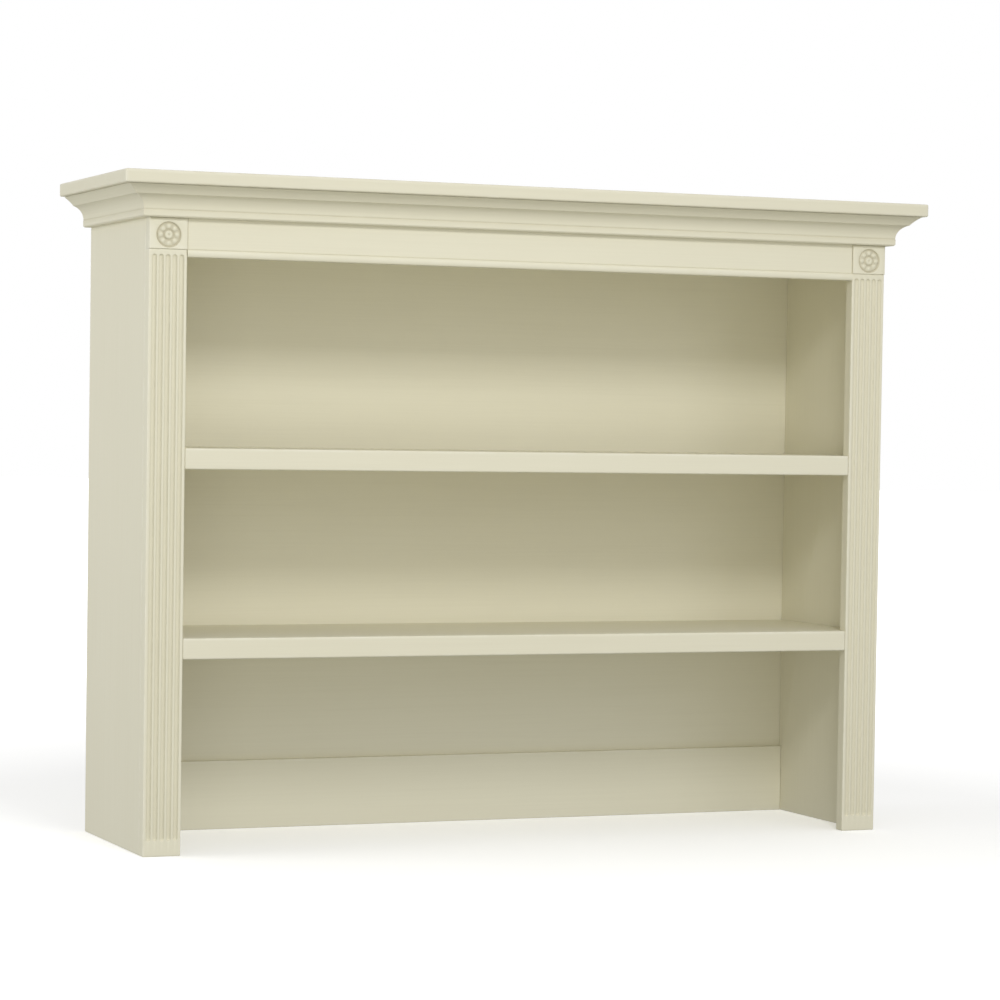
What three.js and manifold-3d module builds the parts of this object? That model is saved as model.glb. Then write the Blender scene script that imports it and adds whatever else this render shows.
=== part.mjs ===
// Desk hutch: a free-standing open bookcase top that stands on the back of a desk.
// Two side panels, two fixed shelves and a ceiling board carry a face frame of fluted
// stiles with rosette blocks, a frieze with a bead, and a mitred crown moulding under a
// square-edged cap board. The back is a thin panel held between two rails.
// Millimetres, +X to the viewer's right, +Y to the back, +Z up. The origin is the centre
// of the whole outline at the bottom, so the hutch stands on Z = 0.
import * as THREE from "three";
import { mergeVertices } from "three/addons/utils/BufferGeometryUtils.js";
import Module from "manifold-3d";

const wasm = await Module();
wasm.setup();

// ---- Driving dimensions ----

const CAP_WIDTH = 1270;
const CAP_DEPTH = 355.6;
const HEIGHT = 965;
const CAP_OVERHANG = 48.5; // past the body at the front and at both sides
const CAP_THICKNESS = 19;
const CROWN_HEIGHT = 44;

const BOARD = 18; // side panels, shelves, ceiling board and rails
const FACE_BOARD = 19; // stiles, frieze and shelf nosings
const STILE_WIDTH = 55.5;
const OPENING_TOP = 847.5; // underside of the bead that closes the opening
const BEAD_HEIGHT = 10.5;
const BEAD_PROJECTION = 2.5;
const BEAD_RADIUS = 9.5; // of its nose

const FLUTES = 5;
const FLUTE_PITCH = 9.95;
const FLUTE_WIDTH = 7;
const FLUTE_DEPTH = 3;
const FLUTE_MARGIN = 7.5; // from a flute's upper end to the top of the stile
const FLUTE_FOOT = 22; // height at which the flutes end above the desk

const ROSETTE_RADIUS = 18.3;
const ROSETTE_DROP = 2; // of its centre below the middle of the block
const ROSETTE_RECESS = 2.2;
const BLOCK_PROJECTION = 1.5; // rosette block past the face of the stile

const UPPER_SHELF_TOP = 578.5;
const LOWER_SHELF_TOP = 309;
const NOSING_HEIGHT = 30;
const CEILING_UNDERSIDE = 866;

const BACK_PANEL = 6;
const RAIL_INSET = 11; // rails set in from the back edges of the sides
const REBATE_DEPTH = 10; // into the rails from the back
const REBATE_WIDTH = 9; // across the boards' edges
const RAIL_HEIGHT = 104;

const DOWEL_RADIUS = 4;
const DOWEL_IN_SIDE = 11;
const DOWEL_IN_BOARD = 19;
const DOWEL_INSET = 50; // from the front and back edges of a board

const BLOCK_LEG = 24; // corner blocks behind the frieze and the upper rail
const BLOCK_LENGTH = 120;
const BLOCK_SPREAD = 350;

const PLATE_LENGTH = 88;
const PLATE_WIDTH = 16;
const PLATE_THICKNESS = 2;
const PLATE_HOLE_RADIUS = 2.4;
const PLATE_HOLE_PITCH = 24;
const PLATE_HOLES = 3;
const PLATE_SPREAD = 430;
const PLATE_FOOT = 7; // clear height under a plate while it is turned up

const SCREW_HEAD_HEIGHT = 2.4;

const GAP = 0.3; // between pieces that touch

// ---- Derived places ----

const BODY_HALF = CAP_WIDTH / 2 - CAP_OVERHANG;
const INNER_HALF = BODY_HALF - BOARD;
const OPENING_HALF = BODY_HALF - STILE_WIDTH;
const CAP_FRONT = -CAP_DEPTH / 2;
const BACK = CAP_DEPTH / 2;
const FRONT = CAP_FRONT + CAP_OVERHANG; // face of the stiles
const FRAME_BACK = FRONT + FACE_BOARD;
const RAIL_BACK = BACK - RAIL_INSET;
const REBATE_SHOULDER = RAIL_BACK - REBATE_DEPTH;
const CAP_UNDERSIDE = HEIGHT - CAP_THICKNESS;
const CROWN_FOOT = CAP_UNDERSIDE - CROWN_HEIGHT;
const NECK = OPENING_TOP + BEAD_HEIGHT; // top of the stiles and of the bead
const UPPER_RAIL_FOOT = CEILING_UNDERSIDE + BOARD + GAP;

// ---- Finishes ----

const finish = (color, roughness, metalness = 0) =>
  new THREE.MeshStandardMaterial({ color, roughness, metalness });

const CREAM_PAINT = finish(0xe4dfcb, 0.5);
const PAINTED_PANEL = finish(0xdcd7c0, 0.6);
const BARE_WOOD = finish(0xc9a878, 0.75);
const ZINC = finish(0xb4b6b8, 0.35, 0.9);

// ---- Geometry helpers ----

function box([x0, x1], [y0, y1], [z0, z1]) {
  return new THREE.BoxGeometry(x1 - x0, y1 - y0, z1 - z0).translate(
    (x0 + x1) / 2,
    (y0 + y1) / 2,
    (z0 + z1) / 2,
  );
}

// A round bar whose middle is at centre and whose length lies along the given axis.
function bar(radius, length, axis, centre, sides = 12) {
  const geometry = new THREE.CylinderGeometry(radius, radius, length, sides);
  const turn = new THREE.Quaternion().setFromUnitVectors(
    new THREE.Vector3(0, 1, 0),
    axis,
  );
  return geometry.applyQuaternion(turn).translate(...centre);
}

function outline(points) {
  return new THREE.Shape(points.map(([x, y]) => new THREE.Vector2(x, y)));
}

function solidOf(geometry) {
  const positions = geometry.clone();
  for (const name of Object.keys(positions.attributes)) {
    if (name !== "position") positions.deleteAttribute(name);
  }
  const merged = mergeVertices(positions, 1e-4);
  return new wasm.Manifold(
    new wasm.Mesh({
      numProp: 3,
      vertProperties: merged.attributes.position.array,
      triVerts: new Uint32Array(merged.index.array),
    }),
  );
}

function geometryOf(solid) {
  const mesh = solid.getMesh();
  const geometry = new THREE.BufferGeometry();
  geometry.setAttribute(
    "position",
    new THREE.BufferAttribute(new Float32Array(mesh.vertProperties), 3),
  );
  geometry.setIndex(new THREE.BufferAttribute(new Uint32Array(mesh.triVerts), 1));
  const faceted = geometry.toNonIndexed();
  faceted.computeVertexNormals();
  return faceted;
}

function cut(geometry, cutters) {
  let solid = solidOf(geometry);
  for (const cutter of cutters) solid = solid.subtract(solidOf(cutter));
  return geometryOf(solid);
}

const hutch = new THREE.Group();

function add(name, geometry, material) {
  const mesh = new THREE.Mesh(geometry, material);
  mesh.name = name;
  hutch.add(mesh);
}

const SIDES = [
  { side: "left", sign: -1 },
  { side: "right", sign: 1 },
];
const DEPTHS = [
  { end: "front", y: FRAME_BACK + DOWEL_INSET },
  { end: "back", y: REBATE_SHOULDER - DOWEL_INSET },
];
const X_AXIS = new THREE.Vector3(1, 0, 0);
const Y_AXIS = new THREE.Vector3(0, 1, 0);

// A span from inner to outer on the left or right of the middle, lowest first.
const spanOf = (sign, inner, outer) =>
  sign > 0 ? [inner, outer] : [-outer, -inner];

// ---- Boards that the side panels carry ----

const BOARDS = [
  { name: "lower_shelf", top: LOWER_SHELF_TOP },
  { name: "upper_shelf", top: UPPER_SHELF_TOP },
  { name: "ceiling", top: CEILING_UNDERSIDE + BOARD },
];

function dowelHolesAt(sign) {
  const length = DOWEL_IN_SIDE + DOWEL_IN_BOARD + 2 * GAP;
  const x = sign * (INNER_HALF + (DOWEL_IN_SIDE - DOWEL_IN_BOARD) / 2);
  return BOARDS.flatMap(({ top }) =>
    DEPTHS.map(({ y }) =>
      bar(DOWEL_RADIUS + GAP, length, X_AXIS, [x, y, top - BOARD / 2]),
    ),
  );
}

for (const { name, top } of BOARDS) {
  const board = box(
    [-INNER_HALF + GAP, INNER_HALF - GAP],
    [FRAME_BACK + GAP, REBATE_SHOULDER],
    [top - BOARD, top],
  );
  const holes = [...dowelHolesAt(-1), ...dowelHolesAt(1)];
  add(`${name}_board`, cut(board, holes), CREAM_PAINT);
  for (const { side, sign } of SIDES) {
    for (const { end, y } of DEPTHS) {
      const x = sign * (INNER_HALF + (DOWEL_IN_SIDE - DOWEL_IN_BOARD) / 2);
      const length = DOWEL_IN_SIDE + DOWEL_IN_BOARD;
      const dowel = bar(DOWEL_RADIUS, length, X_AXIS, [x, y, top - BOARD / 2]);
      add(`${name}_dowel_${side}_${end}`, dowel, BARE_WOOD);
    }
  }
}

// ---- Shelf nosings, flush with the stiles ----

for (const [name, top] of [
  ["lower_shelf_nosing", LOWER_SHELF_TOP],
  ["upper_shelf_nosing", UPPER_SHELF_TOP],
]) {
  const nosing = box(
    [-OPENING_HALF + GAP, OPENING_HALF - GAP],
    [FRONT, FRAME_BACK],
    [top - NOSING_HEIGHT, top],
  );
  add(name, nosing, CREAM_PAINT);
}

// ---- Back screws ----

const BACK_SCREW = { radius: 1.6, length: 12, head: 3.4 };
const PLATE_SCREW = { radius: 2, length: 15, head: 3.8 };
const SCREW_SIDES = 12;

// A pan-head screw with its shank along -Y and the underside of its head at y = 0.
function screw({ radius, length, head }) {
  const profile = [
    [0, -length],
    [radius, -length + 2 * radius],
    [radius, 0],
    [head, 0],
    [head, SCREW_HEAD_HEIGHT * 0.45],
    [head * 0.6, SCREW_HEAD_HEIGHT],
    [0, SCREW_HEAD_HEIGHT],
  ].map(([r, y]) => new THREE.Vector2(r, y));
  return new THREE.LatheGeometry(profile, SCREW_SIDES);
}

// The hole for a screw's shank, from the shank's tip to past its head.
function pilot({ radius, length }, x, y, z) {
  const reach = length + GAP + SCREW_HEAD_HEIGHT;
  const centre = [x, y + SCREW_HEAD_HEIGHT - reach / 2, z];
  return bar(radius + GAP, reach, Y_AXIS, centre, SCREW_SIDES);
}

const PANEL_FRONT = REBATE_SHOULDER + GAP;
const PANEL_BACK = PANEL_FRONT + BACK_PANEL;
const EDGE_SCREW_X = INNER_HALF + REBATE_WIDTH / 2;
const LOWER_SCREW_Z = RAIL_HEIGHT - REBATE_DEPTH / 2;
const UPPER_SCREW_Z = UPPER_RAIL_FOOT + REBATE_DEPTH / 2;
const SIDE_SCREW_HEIGHTS = { low: 200, middle: 480, high: 760 };
const RAIL_SCREW_SPREAD = 380;

const panelScrews = [];
for (const { side, sign } of SIDES) {
  for (const [level, z] of Object.entries(SIDE_SCREW_HEIGHTS)) {
    panelScrews.push({ name: `${side}_${level}`, x: sign * EDGE_SCREW_X, z });
  }
}
for (const [place, x] of [
  ["left", -RAIL_SCREW_SPREAD],
  ["middle", 0],
  ["right", RAIL_SCREW_SPREAD],
]) {
  panelScrews.push({ name: `lower_rail_${place}`, x, z: LOWER_SCREW_Z });
  panelScrews.push({ name: `upper_rail_${place}`, x, z: UPPER_SCREW_Z });
}
const SCREW_SEAT = PANEL_BACK + GAP;
const panelPilots = panelScrews.map(({ x, z }) =>
  pilot(BACK_SCREW, x, SCREW_SEAT, z),
);
for (const { name, x, z } of panelScrews) {
  const geometry = screw(BACK_SCREW).translate(x, SCREW_SEAT, z);
  add(`back_screw_${name}`, geometry, ZINC);
}

// ---- Desk plates, turned up on the back of the lower rail ----

const PLATE_MIDDLE = PLATE_FOOT + PLATE_LENGTH / 2;
const PLATE_SEAT = RAIL_BACK + GAP;
const PLATE_SCREW_SEAT = PLATE_SEAT + PLATE_THICKNESS + GAP;
const HOLE_HEIGHTS = Array.from(
  { length: PLATE_HOLES },
  (_, i) => PLATE_MIDDLE + (i - (PLATE_HOLES - 1) / 2) * PLATE_HOLE_PITCH,
);
const PLATE_SCREWS = [
  { place: "lower", z: HOLE_HEIGHTS[0] },
  { place: "upper", z: HOLE_HEIGHTS[PLATE_HOLES - 1] },
];

function plate(x) {
  const radius = PLATE_WIDTH / 2;
  const straight = (PLATE_LENGTH - PLATE_WIDTH) / 2;
  const shape = new THREE.Shape();
  shape.absarc(0, straight, radius, 0, Math.PI, false);
  shape.absarc(0, -straight, radius, Math.PI, 2 * Math.PI, false);
  shape.closePath();
  const geometry = new THREE.ExtrudeGeometry(shape, {
    depth: PLATE_THICKNESS,
    bevelEnabled: false,
    curveSegments: 5,
  });
  geometry.rotateX(Math.PI / 2).translate(x, PLATE_SEAT + PLATE_THICKNESS, PLATE_MIDDLE);
  const holes = HOLE_HEIGHTS.map((z) =>
    bar(PLATE_HOLE_RADIUS, PLATE_THICKNESS * 3, Y_AXIS, [x, PLATE_SEAT, z]),
  );
  return cut(geometry, holes);
}

const platePilots = [];
for (const { side, sign } of SIDES) {
  const x = sign * PLATE_SPREAD;
  add(`desk_plate_${side}`, plate(x), ZINC);
  for (const { place, z } of PLATE_SCREWS) {
    const geometry = screw(PLATE_SCREW).translate(x, PLATE_SCREW_SEAT, z);
    add(`desk_plate_screw_${side}_${place}`, geometry, ZINC);
    platePilots.push(pilot(PLATE_SCREW, x, PLATE_SCREW_SEAT, z));
  }
}

// ---- Side panels ----

for (const { side, sign } of SIDES) {
  const panel = box(
    spanOf(sign, INNER_HALF, BODY_HALF),
    [FRAME_BACK + GAP, BACK],
    [0, CAP_UNDERSIDE - GAP],
  );
  const rebate = box(
    spanOf(sign, INNER_HALF - 1, INNER_HALF + REBATE_WIDTH),
    [REBATE_SHOULDER, BACK + 1],
    [RAIL_HEIGHT - REBATE_DEPTH, UPPER_RAIL_FOOT + REBATE_DEPTH],
  );
  const cutters = [rebate, ...dowelHolesAt(sign), ...panelPilots];
  add(`side_panel_${side}`, cut(panel, cutters), CREAM_PAINT);
}

// ---- Back panel and rails ----

const backPanel = box(
  [-INNER_HALF - REBATE_WIDTH + GAP, INNER_HALF + REBATE_WIDTH - GAP],
  [PANEL_FRONT, PANEL_BACK],
  [RAIL_HEIGHT - REBATE_DEPTH + GAP, UPPER_RAIL_FOOT + REBATE_DEPTH - GAP],
);
add("back_panel", cut(backPanel, panelPilots), PAINTED_PANEL);

const RAIL_SPAN = [-INNER_HALF + GAP, INNER_HALF - GAP];

const RAIL_DEPTH = [RAIL_BACK - BOARD, RAIL_BACK];
const lowerRail = box(RAIL_SPAN, RAIL_DEPTH, [0, RAIL_HEIGHT]);
const lowerRailRebate = box(
  [-BODY_HALF, BODY_HALF],
  [REBATE_SHOULDER, RAIL_BACK + 1],
  [RAIL_HEIGHT - REBATE_DEPTH, RAIL_HEIGHT + 1],
);
add(
  "lower_back_rail",
  cut(lowerRail, [lowerRailRebate, ...panelPilots, ...platePilots]),
  CREAM_PAINT,
);

const upperRail = box(RAIL_SPAN, RAIL_DEPTH, [
  UPPER_RAIL_FOOT,
  CAP_UNDERSIDE - GAP,
]);
const upperRailRebate = box(
  [-BODY_HALF, BODY_HALF],
  [REBATE_SHOULDER, RAIL_BACK + 1],
  [UPPER_RAIL_FOOT - 1, UPPER_RAIL_FOOT + REBATE_DEPTH],
);
add(
  "upper_back_rail",
  cut(upperRail, [upperRailRebate, ...panelPilots]),
  CREAM_PAINT,
);

// ---- Fluted stiles ----

// A groove cutter with rounded ends. It stands in front of the face, so that it cuts
// FLUTE_DEPTH deep and FLUTE_WIDTH wide.
function fluteCutter(x) {
  const halfWidth = FLUTE_WIDTH / 2;
  const radius = (halfWidth ** 2 + FLUTE_DEPTH ** 2) / (2 * FLUTE_DEPTH);
  const top = NECK - FLUTE_MARGIN - halfWidth;
  const foot = FLUTE_FOOT + halfWidth;
  return new THREE.CapsuleGeometry(radius, top - foot, 4, 16)
    .rotateX(Math.PI / 2)
    .translate(x, FRONT + FLUTE_DEPTH - radius, (top + foot) / 2);
}

for (const { side, sign } of SIDES) {
  const stile = box(
    spanOf(sign, OPENING_HALF, BODY_HALF),
    [FRONT, FRAME_BACK],
    [0, NECK],
  );
  const middle = (sign * (OPENING_HALF + BODY_HALF)) / 2;
  const flutes = Array.from({ length: FLUTES }, (_, i) =>
    fluteCutter(middle + (i - (FLUTES - 1) / 2) * FLUTE_PITCH),
  );
  add(`stile_${side}`, cut(stile, flutes), CREAM_PAINT);
}

// ---- Rosette blocks ----

// Turned relief that stands on the floor of the round recess: a domed ring, a groove
// and a dished boss. Its axis is Z, and y is the height above the recess floor.
const ROSETTE_PROFILE = [
  [0, -1],
  [16.4, -1],
  [16.4, 0.3],
  [15.2, 1.7],
  [12.8, 2.5],
  [10.6, 1.9],
  [9, 0.7],
  [7.6, 0.5],
  [6.4, 1.6],
  [4, 2.9],
  [1.6, 2.5],
  [0, 1.9],
];

for (const { side, sign } of SIDES) {
  const foot = NECK + GAP;
  const shoulder = CROWN_FOOT - GAP;
  const section = outline([
    [FRONT - BLOCK_PROJECTION, foot],
    [FRAME_BACK, foot],
    [FRAME_BACK, CAP_UNDERSIDE - GAP],
    [FRONT, CAP_UNDERSIDE - GAP],
    [FRONT, shoulder],
    [FRONT - BLOCK_PROJECTION, shoulder],
  ]);
  const [x0, x1] = spanOf(sign, OPENING_HALF, BODY_HALF);
  // Shape x runs along Y, shape y along Z, and the extrusion along X.
  const toBlock = new THREE.Matrix4()
    .makeBasis(Y_AXIS, new THREE.Vector3(0, 0, 1), X_AXIS)
    .setPosition(x0, 0, 0);
  const block = new THREE.ExtrudeGeometry(section, {
    depth: x1 - x0,
    bevelEnabled: false,
  }).applyMatrix4(toBlock);
  const centre = [
    (x0 + x1) / 2,
    FRONT - BLOCK_PROJECTION + ROSETTE_RECESS,
    (foot + shoulder) / 2 - ROSETTE_DROP,
  ];
  const recess = bar(
    ROSETTE_RADIUS,
    2 * ROSETTE_RECESS,
    Y_AXIS,
    [centre[0], centre[1] - ROSETTE_RECESS, centre[2]],
    32,
  );
  const relief = new THREE.LatheGeometry(
    ROSETTE_PROFILE.map(([r, y]) => new THREE.Vector2(r, y)),
    32,
  )
    .rotateX(Math.PI)
    .translate(...centre);
  const carved = solidOf(block).subtract(solidOf(recess)).add(solidOf(relief));
  add(`rosette_block_${side}`, geometryOf(carved), CREAM_PAINT);
}

// ---- Frieze and its bead ----

const FRIEZE_SPAN = [-OPENING_HALF + GAP, OPENING_HALF - GAP];

add(
  "frieze_rail",
  box(FRIEZE_SPAN, [FRONT, FRAME_BACK], [NECK + GAP, CAP_UNDERSIDE - GAP]),
  CREAM_PAINT,
);

function bead() {
  const shape = new THREE.Shape();
  const rise = Math.asin(BEAD_HEIGHT / 2 / BEAD_RADIUS);
  const centreX = BEAD_PROJECTION - BEAD_RADIUS;
  const centreY = OPENING_TOP + BEAD_HEIGHT / 2;
  shape.moveTo(-FACE_BOARD, OPENING_TOP);
  shape.absarc(centreX, centreY, BEAD_RADIUS, -rise, rise, false);
  shape.lineTo(-FACE_BOARD, NECK);
  shape.closePath();
  return sweep(shape, [OPENING_HALF - GAP, FRONT, 0], new THREE.Vector3(0, -1, 0), {
    length: 2 * (OPENING_HALF - GAP),
  });
}

// Extrudes a shape of (distance outward, height) along outward x up, from an origin on
// the body's face. A mitred end leans outward at 45 degrees, less a small joint gap.
function sweep(shape, origin, outward, { length, mitreStart, mitreEnd }) {
  const up = new THREE.Vector3(0, 0, 1);
  const along = new THREE.Vector3().crossVectors(outward, up);
  const geometry = new THREE.ExtrudeGeometry(shape, {
    depth: length,
    bevelEnabled: false,
    curveSegments: 4,
  });
  const position = geometry.attributes.position;
  for (let i = 0; i < position.count; i += 1) {
    const out = position.getX(i) - GAP;
    const atStart = position.getZ(i) < length / 2;
    if (atStart && mitreStart) position.setZ(i, -out);
    if (!atStart && mitreEnd) position.setZ(i, length + out);
  }
  geometry.applyMatrix4(new THREE.Matrix4().makeBasis(outward, up, along));
  geometry.translate(...origin);
  geometry.computeVertexNormals();
  return geometry;
}

add("frieze_bead", bead(), CREAM_PAINT);

// ---- Crown moulding ----

const degrees = THREE.MathUtils.degToRad;

// A concave arc that starts at (out, up) and turns from one slope to a flatter one.
function cove(shape, out, up, radius, fromSlope, toSlope) {
  const from = degrees(fromSlope);
  const centreOut = out + radius * Math.sin(from);
  const centreUp = up - radius * Math.cos(from);
  shape.absarc(
    centreOut,
    centreUp,
    radius,
    Math.PI / 2 + from,
    Math.PI / 2 + degrees(toSlope),
    true,
  );
}

const CROWN_FILLET = 12; // projection of the bottom fillet
const CROWN_FILLET_HEIGHT = 10;
const CROWN_FILLET_CHAMFER = 2;
const CROWN_QUIRK = 0.8;
const CROWN_REACH = 40.6; // projection at the top
const LOWER_COVE = { out: 11.7, up: 10.8, radius: 21, from: 90, to: 15 };
const UPPER_COVE = { out: 27.8, up: 31.8, radius: 57.5, from: 50, to: 33 };

function crownShape() {
  const shape = new THREE.Shape();
  shape.moveTo(GAP, 0);
  shape.lineTo(CROWN_FILLET - CROWN_FILLET_CHAMFER, 0);
  shape.lineTo(CROWN_FILLET, CROWN_FILLET_CHAMFER);
  shape.lineTo(CROWN_FILLET, CROWN_FILLET_HEIGHT);
  shape.lineTo(CROWN_FILLET - CROWN_QUIRK, CROWN_FILLET_HEIGHT);
  for (const { out, up, radius, from, to } of [LOWER_COVE, UPPER_COVE]) {
    cove(shape, out, up, radius, from, to);
  }
  shape.lineTo(CROWN_REACH, CROWN_HEIGHT - GAP);
  shape.lineTo(GAP, CROWN_HEIGHT - GAP);
  shape.closePath();
  return shape;
}

const BODY_DEPTH = BACK - FRONT;
add(
  "crown_front",
  sweep(crownShape(), [BODY_HALF, FRONT, CROWN_FOOT], new THREE.Vector3(0, -1, 0), {
    length: 2 * BODY_HALF,
    mitreStart: true,
    mitreEnd: true,
  }),
  CREAM_PAINT,
);
add(
  "crown_left",
  sweep(crownShape(), [-BODY_HALF, FRONT, CROWN_FOOT], new THREE.Vector3(-1, 0, 0), {
    length: BODY_DEPTH,
    mitreStart: true,
  }),
  CREAM_PAINT,
);
add(
  "crown_right",
  sweep(crownShape(), [BODY_HALF, BACK, CROWN_FOOT], new THREE.Vector3(1, 0, 0), {
    length: BODY_DEPTH,
    mitreEnd: true,
  }),
  CREAM_PAINT,
);

// ---- Cap board and the corner blocks under it ----

add(
  "cap_board",
  box([-CAP_WIDTH / 2, CAP_WIDTH / 2], [CAP_FRONT, BACK], [CAP_UNDERSIDE, HEIGHT]),
  CREAM_PAINT,
);

function cornerBlock(x, y, backward) {
  const top = CAP_UNDERSIDE - GAP;
  const shape = outline([
    [GAP, top],
    [GAP, top - BLOCK_LEG],
    [GAP + BLOCK_LEG, top],
  ]);
  const outward = new THREE.Vector3(0, backward, 0);
  const start = x - (backward * BLOCK_LENGTH) / 2;
  return sweep(shape, [start, y, 0], outward, { length: BLOCK_LENGTH });
}

for (const { side, sign } of SIDES) {
  const x = sign * BLOCK_SPREAD;
  add(`corner_block_front_${side}`, cornerBlock(x, FRAME_BACK, 1), BARE_WOOD);
  add(`corner_block_back_${side}`, cornerBlock(x, RAIL_BACK - BOARD, -1), BARE_WOOD);
}

export default hutch;
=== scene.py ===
"""A desk hutch in antique cream paint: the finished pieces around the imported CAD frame.

Metres, +X to the right, +Y to the back, +Z up, standing on Z = 0. Each CAD node is
replaced by a finished piece in the same place: eased boards, fluted stiles with
round-ended flutes, carved rosettes, mouldings with softened arrises, dowels, glue blocks,
screws and desk plates.
"""
import math

import bmesh
import bpy
from mathutils import Matrix, Vector


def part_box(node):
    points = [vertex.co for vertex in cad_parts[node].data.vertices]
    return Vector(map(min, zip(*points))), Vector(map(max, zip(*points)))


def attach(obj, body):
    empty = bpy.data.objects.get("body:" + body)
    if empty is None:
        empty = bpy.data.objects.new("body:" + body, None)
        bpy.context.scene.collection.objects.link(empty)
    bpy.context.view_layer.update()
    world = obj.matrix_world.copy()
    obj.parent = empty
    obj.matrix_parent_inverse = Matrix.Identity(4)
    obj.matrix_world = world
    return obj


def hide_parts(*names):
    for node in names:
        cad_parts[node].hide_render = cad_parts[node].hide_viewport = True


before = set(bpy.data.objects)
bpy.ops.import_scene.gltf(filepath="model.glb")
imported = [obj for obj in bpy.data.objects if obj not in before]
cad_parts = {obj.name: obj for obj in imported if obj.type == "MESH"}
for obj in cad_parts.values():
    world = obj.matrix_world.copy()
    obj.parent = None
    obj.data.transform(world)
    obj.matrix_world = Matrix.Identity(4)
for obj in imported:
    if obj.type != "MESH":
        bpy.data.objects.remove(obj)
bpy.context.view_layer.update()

MM = 0.001
UP = Vector((0, 0, 1))

# ---- Driving sizes that the frame's boxes don't give ----

GAP = 0.3 * MM  # between pieces that touch
EASE = 1.2 * MM  # radius of a sanded arris
NOSING_EASE = 2.0 * MM
CAP_EASE = 2.5 * MM
SHELF_EASE = 0.8 * MM
PANEL_EASE = 0.6 * MM
WEAR_BAND = 5 * MM  # width of the rubbed strip beside an arris
STILE_WEAR = 3 * MM  # the same on stiles and rosette blocks
PAINTED_GAP = 0.05 * MM  # at a joint that is filled and painted over
JOINT_EASE = 0.4 * MM  # at the joint between a stile and its block
JOINT_BAND = 2 * MM  # width of the glaze and painted shade beside a prouder piece
WEAR_FADE = 1.5  # exponent; the rub is strongest at the arris itself
CAP_SHADE_FILM = 0.15  # painted shade: an even darkening all over the cap, to tone down the light it catches, as a share of full glaze

FLUTES = 5
FLUTE_PITCH = 9.95 * MM
FLUTE_WIDTH = 7 * MM
FLUTE_DEPTH = 3 * MM
FLUTE_MARGIN = 7.5 * MM
FLUTE_FOOT = 22 * MM
FLUTE_ARRIS = 0.4 * MM
# darkening in the flutes, glaze and painted shade, as a share of full glaze
FLUTE_GLAZE_AND_SHADE = 0.24

ROSETTE_RADIUS = 18.3 * MM
ROSETTE_DROP = 2 * MM  # of its centre below the middle of the block
ROSETTE_RECESS = 2.2 * MM
PETALS = 8

BEAD_RADIUS = 9.5 * MM

REBATE_DEPTH = 10 * MM
REBATE_WIDTH = 9 * MM

# ---- Places that the frame gives ----

SIDE_LOW, SIDE_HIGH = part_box("side_panel_right")
BODY_HALF = SIDE_HIGH.x
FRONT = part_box("stile_right")[0].y  # face of the stiles
BACK = SIDE_HIGH.y
CROWN_LOW, CROWN_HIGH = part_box("crown_front")


# ---- Camera, fitted to the photograph's straight edges ----

CAMERA_PLACE = Vector((-1.8892, FRONT - 4.4326, 0.6155))
CAMERA_TURN = math.radians(22.567)  # to the right of straight ahead
CAMERA_TILT = math.radians(-2.163)
CAMERA_ROLL = math.radians(0.868)
SENSOR_WIDTH = 36
FOCAL_LENGTH = 3.267  # in widths of the sensor
VIEW_SHIFT = 0.05


def make_camera():
    """Stands left of the middle and well forward, a little under two thirds up."""
    turn, tilt, roll = CAMERA_TURN, CAMERA_TILT, CAMERA_ROLL
    level = math.cos(tilt)
    forward = Vector((math.sin(turn) * level, math.cos(turn) * level, math.sin(tilt)))
    level_right = Vector((math.cos(turn), -math.sin(turn), 0))
    level_up = level_right.cross(forward)
    right = level_right * math.cos(roll) + level_up * math.sin(roll)
    up = level_up * math.cos(roll) - level_right * math.sin(roll)
    data = bpy.data.cameras.new("camera")
    data.sensor_width = SENSOR_WIDTH
    data.lens = SENSOR_WIDTH * FOCAL_LENGTH
    data.shift_y = VIEW_SHIFT
    data.clip_end = 100
    camera = bpy.data.objects.new("camera", data)
    turned = Matrix((right, up, -forward)).transposed().to_4x4()
    camera.matrix_world = Matrix.Translation(CAMERA_PLACE) @ turned
    bpy.context.scene.collection.objects.link(camera)
    bpy.context.scene.camera = camera


make_camera()


# ---- Materials ----

def new_material(name):
    material = bpy.data.materials.new(name)
    material.use_nodes = True
    tree = material.node_tree
    return material, tree, tree.nodes["Principled BSDF"]


def add_node(tree, kind, settings=None, **inputs):
    """A shader node; an input is a number, a colour or another node's output socket."""
    node = tree.nodes.new(kind)
    for key, value in (settings or {}).items():
        setattr(node, key, value)
    for key, value in inputs.items():
        socket = node.inputs[key.replace("_", " ")]
        if isinstance(value, bpy.types.NodeSocket):
            tree.links.new(value, socket)
        else:
            socket.default_value = value
    return node


def stretched_noise(tree, scale, detail=3.0, roughness=0.55, distortion=0.0):
    """Noise in metres, with its own scale along each axis."""
    place = add_node(tree, "ShaderNodeTexCoord").outputs["Object"]
    mapped = add_node(tree, "ShaderNodeMapping", Vector=place, Scale=scale)
    noise = add_node(tree, "ShaderNodeTexNoise", Vector=mapped.outputs["Vector"], Scale=1.0,
                     Detail=detail, Roughness=roughness, Distortion=distortion)
    return noise.outputs["Fac"]


def remap(tree, value, low, high, to_low, to_high):
    node = add_node(tree, "ShaderNodeMapRange", Value=value)
    for key, number in (("From Min", low), ("From Max", high), ("To Min", to_low), ("To Max", to_high)):
        node.inputs[key].default_value = number
    return node.outputs["Result"]


def multiply(tree, first, second):
    node = add_node(tree, "ShaderNodeMath", {"operation": "MULTIPLY"})
    tree.links.new(first, node.inputs[0])
    tree.links.new(second, node.inputs[1])
    return node.outputs[0]


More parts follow.
